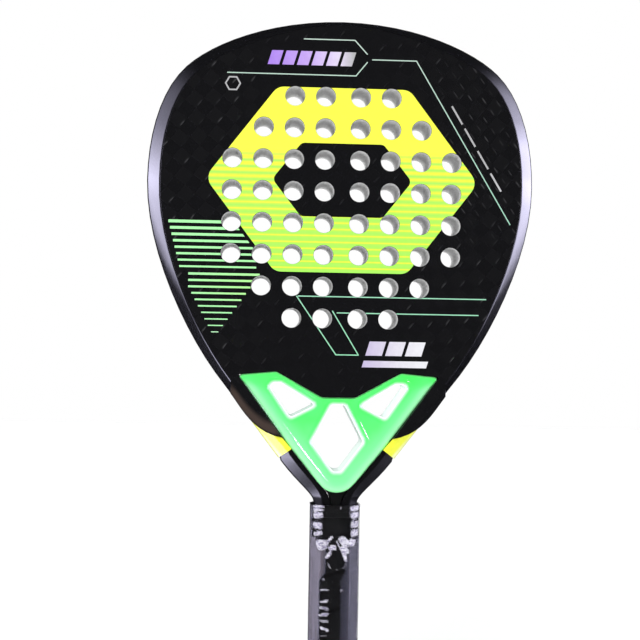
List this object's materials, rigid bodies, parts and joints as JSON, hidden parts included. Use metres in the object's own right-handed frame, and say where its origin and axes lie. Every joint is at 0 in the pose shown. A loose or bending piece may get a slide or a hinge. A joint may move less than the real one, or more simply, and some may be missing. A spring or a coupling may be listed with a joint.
{
  "type": "padel racket",
  "caption": "Teardrop padel racket with a perforated foam-core face, a hollow chamfered frame, a windowed V throat bridge and an octagonal handle in clear film.",
  "frame": {"origin": "middle of the butt cap's lower end", "axes": "+Z from the butt cap to the tip of the head, -Y out of the front face, +X to the right seen from the front"},
  "size_m": [0.26, 0.0384, 0.452],
  "materials": {
    "gloss_black": "clear-coated carbon",
    "nylon": "thin nylon film",
    "eva_foam": "closed-cell foam",
    "carbon_skin": "coarse woven carbon under clear coat",
    "green_gloss": "gloss paint",
    "yellow_gloss": "gloss paint",
    "handle_plastic": "moulded",
    "grip_black": "cushioned wrap",
    "tape_black": "elastic tape",
    "cap_rubber": "moulded rubber",
    "clear_film": "clear crinkled film",
    "yellow_print": "ink, yellow fading to green",
    "mint_print": "ink",
    "pale_print": "ink",
    "lilac_print": "ink, lilac fading to white"
  },
  "bodies": {
    "root": {"frame_tube": "gloss_black", "frame_bladder": "nylon", "core": "eva_foam", "face_front": "carbon_skin", "face_back": "carbon_skin", "throat_bridge": "green_gloss", "bridge_foam": "eva_foam", "arm_band_left": "yellow_gloss", "arm_band_right": "yellow_gloss", "handle_filler": "gloss_black", "handle_shell": "handle_plastic", "grip": "grip_black", "finishing_tape": "tape_black", "butt_cap": "cap_rubber", "shrink_film": "clear_film", "emblem_front": "yellow_print", "emblem_back": "yellow_print", "speed_bars_front": "mint_print", "speed_bars_back": "mint_print", "outline_lines_front": "pale_print", "outline_lines_back": "pale_print", "label_bars_front": "lilac_print"}
  },
  "joints": []
}
